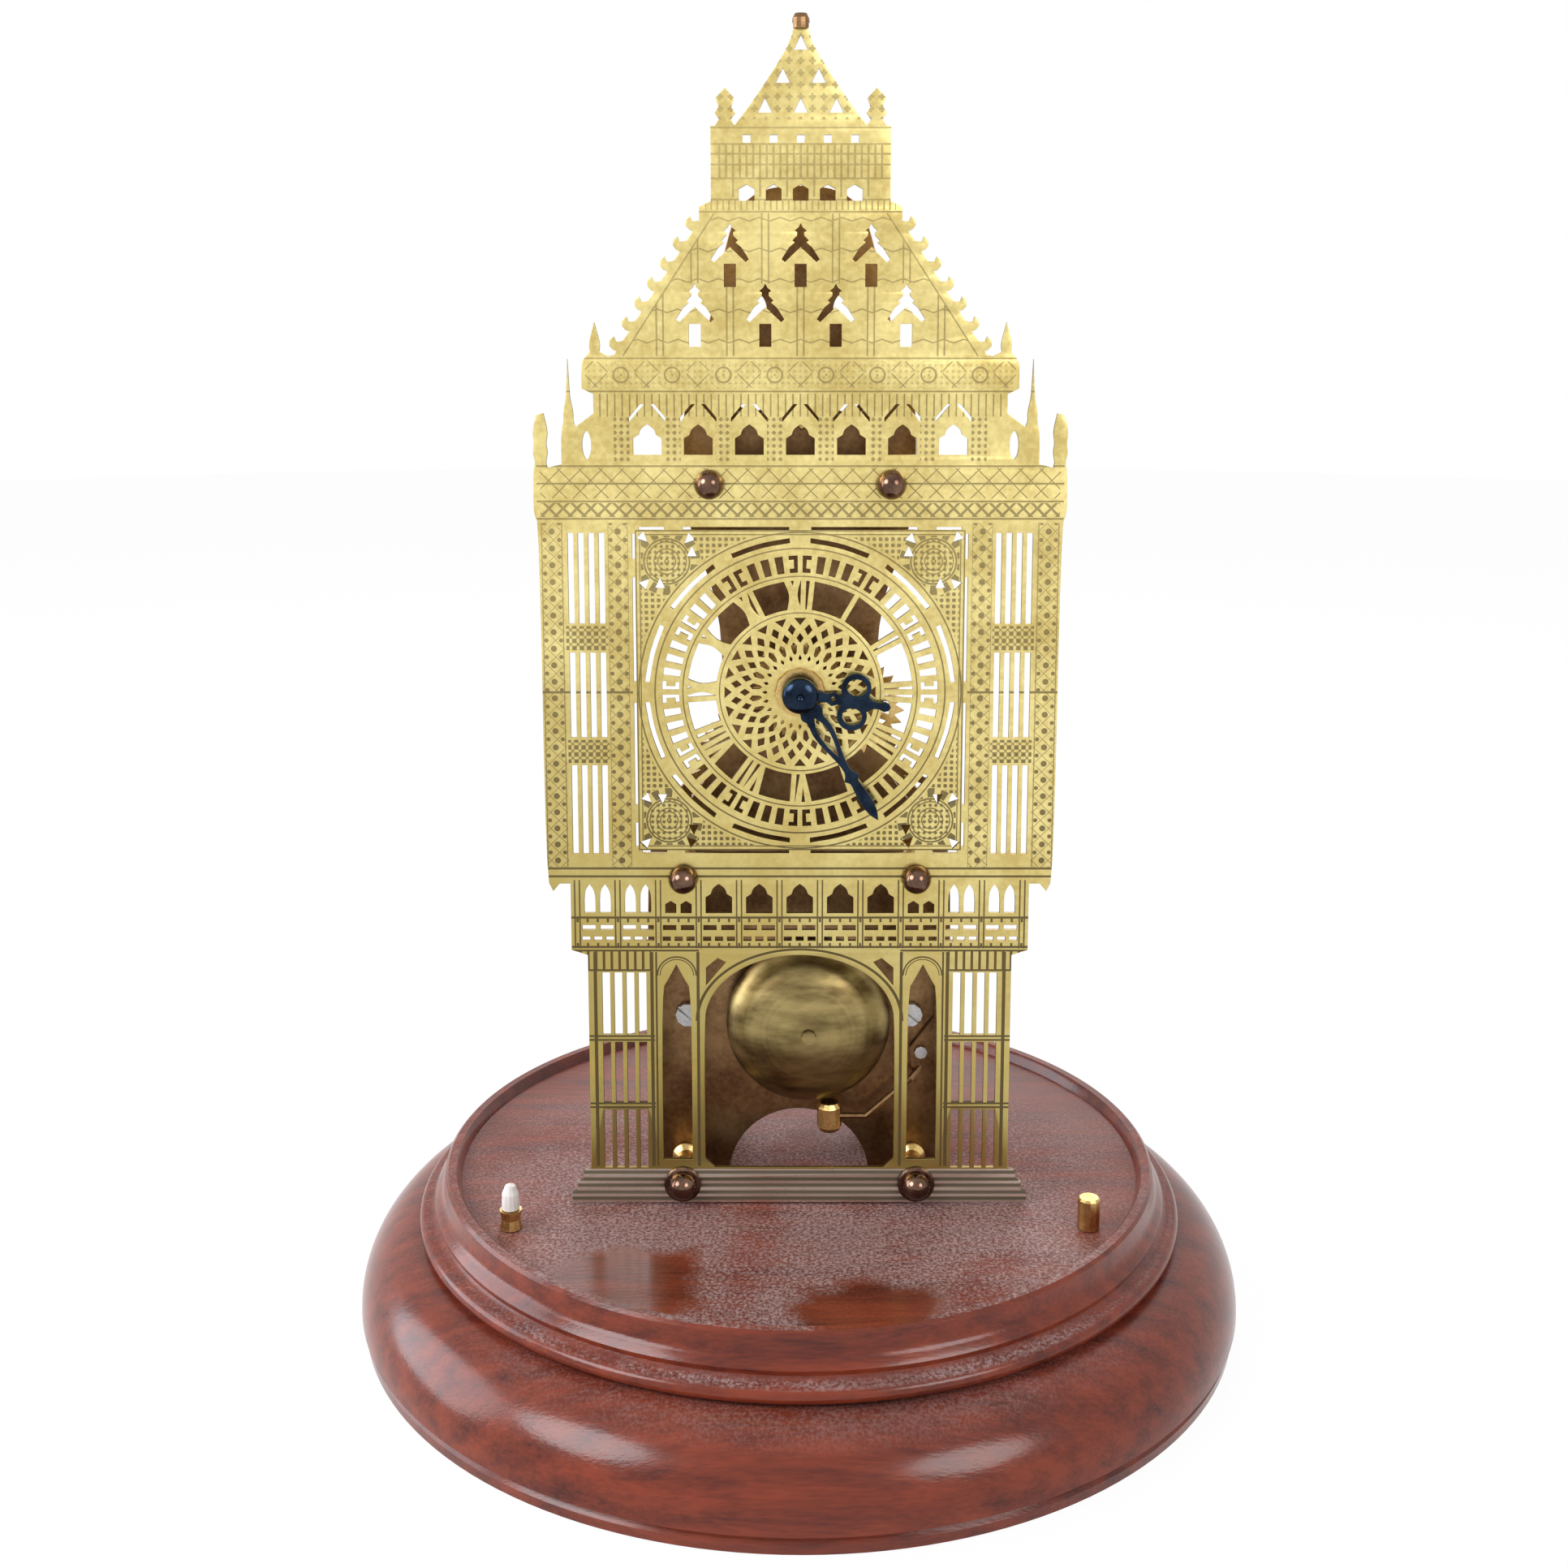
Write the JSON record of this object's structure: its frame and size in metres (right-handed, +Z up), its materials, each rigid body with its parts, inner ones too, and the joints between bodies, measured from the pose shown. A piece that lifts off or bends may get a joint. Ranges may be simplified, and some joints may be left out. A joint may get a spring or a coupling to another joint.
{
  "type": "skeleton clock",
  "caption": "Skeleton mantel clock with a pierced brass gothic tower front, open movement, bell and hands on a turned mahogany base.",
  "frame": {"origin": "under the middle of the round base", "axes": "+Z up, the dial faces -Y"},
  "size_m": [0.25, 0.25, 0.3536],
  "materials": {
    "gilt": "bright lacquered, etched",
    "brass": "polished",
    "old_brass": "dull, tarnished",
    "dark_brass": "polished, dark",
    "steel": "polished",
    "blued_steel": "blued",
    "mahogany": "french polished, dusty",
    "pale_cap": "satin"
  },
  "bodies": {
    "clock_frame": {"base": "mahogany", "base_bolt_left": "steel", "base_bolt_right": "steel", "front_sheet": "gilt", "nut_top_left": "dark_brass", "nut_top_right": "dark_brass", "nut_middle_left": "dark_brass", "nut_middle_right": "dark_brass", "nut_lower_left": "dark_brass", "nut_lower_right": "dark_brass", "post_top_left": "brass", "post_top_right": "brass", "post_middle_left": "brass", "post_middle_right": "brass", "post_lower_left": "brass", "post_lower_right": "brass", "front_plate": "brass", "back_plate": "brass", "pillar_top_left": "brass", "pillar_top_right": "brass", "pillar_middle_left": "brass", "pillar_middle_right": "brass", "pillar_lower_left": "brass", "pillar_lower_right": "brass", "plate_screw_left": "steel", "plate_screw_right": "steel", "dial_bush": "brass", "bell": "old_brass", "bell_post": "brass", "bell_screw": "steel", "hammer_stud": "steel", "minute_wheel_stud": "steel", "click_screw": "steel", "click_spring": "blued_steel", "balance_spring": "blued_steel", "left_peg": "brass", "peg_cap": "pale_cap", "right_peg": "brass", "spire_bead": "dark_brass"},
    "minute_group": {"minute_hand": "blued_steel", "hand_nut": "blued_steel", "cannon_pinion": "steel"},
    "minute_wheel_group": {"minute_wheel": "brass"},
    "hour_group": {"hour_wheel": "brass", "hour_hand": "blued_steel"},
    "centre_group": {"centre_arbor": "steel", "centre_wheel": "brass"},
    "barrel_group": {"barrel": "brass", "barrel_lid": "brass", "mainspring": "steel"},
    "third_group": {"third_wheel": "brass"},
    "fourth_group": {"fourth_wheel": "brass"},
    "escape_group": {"escape_wheel": "brass"},
    "lever_group": {"pallet_arbor": "steel", "pallet_lever": "steel"},
    "balance_group": {"balance_wheel": "brass"},
    "winding_group": {"barrel_arbor": "steel"},
    "click_group": {"click": "steel"},
    "hammer_group": {"hammer_lever": "steel", "hammer_head": "brass"}
  },
  "joints": [
    {"name": "minute_turn", "type": "hinge", "parent": "clock_frame", "child": "minute_group", "pos_m": [0, 0, 0.182], "axis": [0, 1, 0], "continuous": true},
    {"name": "minute_wheel_turn", "type": "hinge", "parent": "clock_frame", "child": "minute_wheel_group", "pos_m": [0.01504, 0, 0.17653], "axis": [0, 1, 0], "continuous": true},
    {"name": "hour_turn", "type": "hinge", "parent": "clock_frame", "child": "hour_group", "pos_m": [0, 0, 0.182], "axis": [0, 1, 0], "continuous": true},
    {"name": "fourth_turn", "type": "hinge", "parent": "clock_frame", "child": "fourth_group", "pos_m": [0.00319, 0, 0.21204], "axis": [0, 1, 0], "continuous": true},
    {"name": "third_turn", "type": "hinge", "parent": "clock_frame", "child": "third_group", "pos_m": [-0.00611, 0, 0.19877], "axis": [0, 1, 0], "continuous": true},
    {"name": "centre_turn", "type": "hinge", "parent": "clock_frame", "child": "centre_group", "pos_m": [0, 0, 0.182], "axis": [0, 1, 0], "continuous": true},
    {"name": "barrel_turn", "type": "hinge", "parent": "clock_frame", "child": "barrel_group", "pos_m": [0, 0, 0.147], "axis": [0, 1, 0], "continuous": true},
    {"name": "escape_turn", "type": "hinge", "parent": "clock_frame", "child": "escape_group", "pos_m": [0.00061, 0, 0.22667], "axis": [0, 1, 0], "continuous": true},
    {"name": "lever_swing", "type": "hinge", "parent": "clock_frame", "child": "lever_group", "pos_m": [0.00061, 0, 0.23757], "axis": [0, 1, 0], "range_deg": [-4, 4]},
    {"name": "balance_swing", "type": "hinge", "parent": "clock_frame", "child": "balance_group", "pos_m": [0.00061, 0, 0.25057], "axis": [0, 1, 0], "range_deg": [-135, 135], "stiffness_Nm_per_rad": 0.00005},
    {"name": "winding_turn", "type": "hinge", "parent": "clock_frame", "child": "winding_group", "pos_m": [0, 0, 0.147], "axis": [0, 1, 0], "continuous": true},
    {"name": "click_swing", "type": "hinge", "parent": "clock_frame", "child": "click_group", "pos_m": [0.013, 0, 0.1579], "axis": [0, 1, 0], "range_deg": [-3, 12]},
    {"name": "hammer_swing", "type": "hinge", "parent": "clock_frame", "child": "hammer_group", "pos_m": [0.034, 0, 0.0764], "axis": [0, 1, 0], "range_deg": [-2, 0.4], "stiffness_Nm_per_rad": 0.02, "springref_deg": 1.72}
  ],
  "couplings": [
    {"joint": "minute_wheel_turn", "follows": "minute_turn", "ratio": -0.33333},
    {"joint": "hour_turn", "follows": "minute_turn", "ratio": 0.083333},
    {"joint": "third_turn", "follows": "fourth_turn", "ratio": -0.125},
    {"joint": "centre_turn", "follows": "fourth_turn", "ratio": 0.016667},
    {"joint": "barrel_turn", "follows": "fourth_turn", "ratio": -0.0027778},
    {"joint": "escape_turn", "follows": "fourth_turn", "ratio": -8}
  ]
}
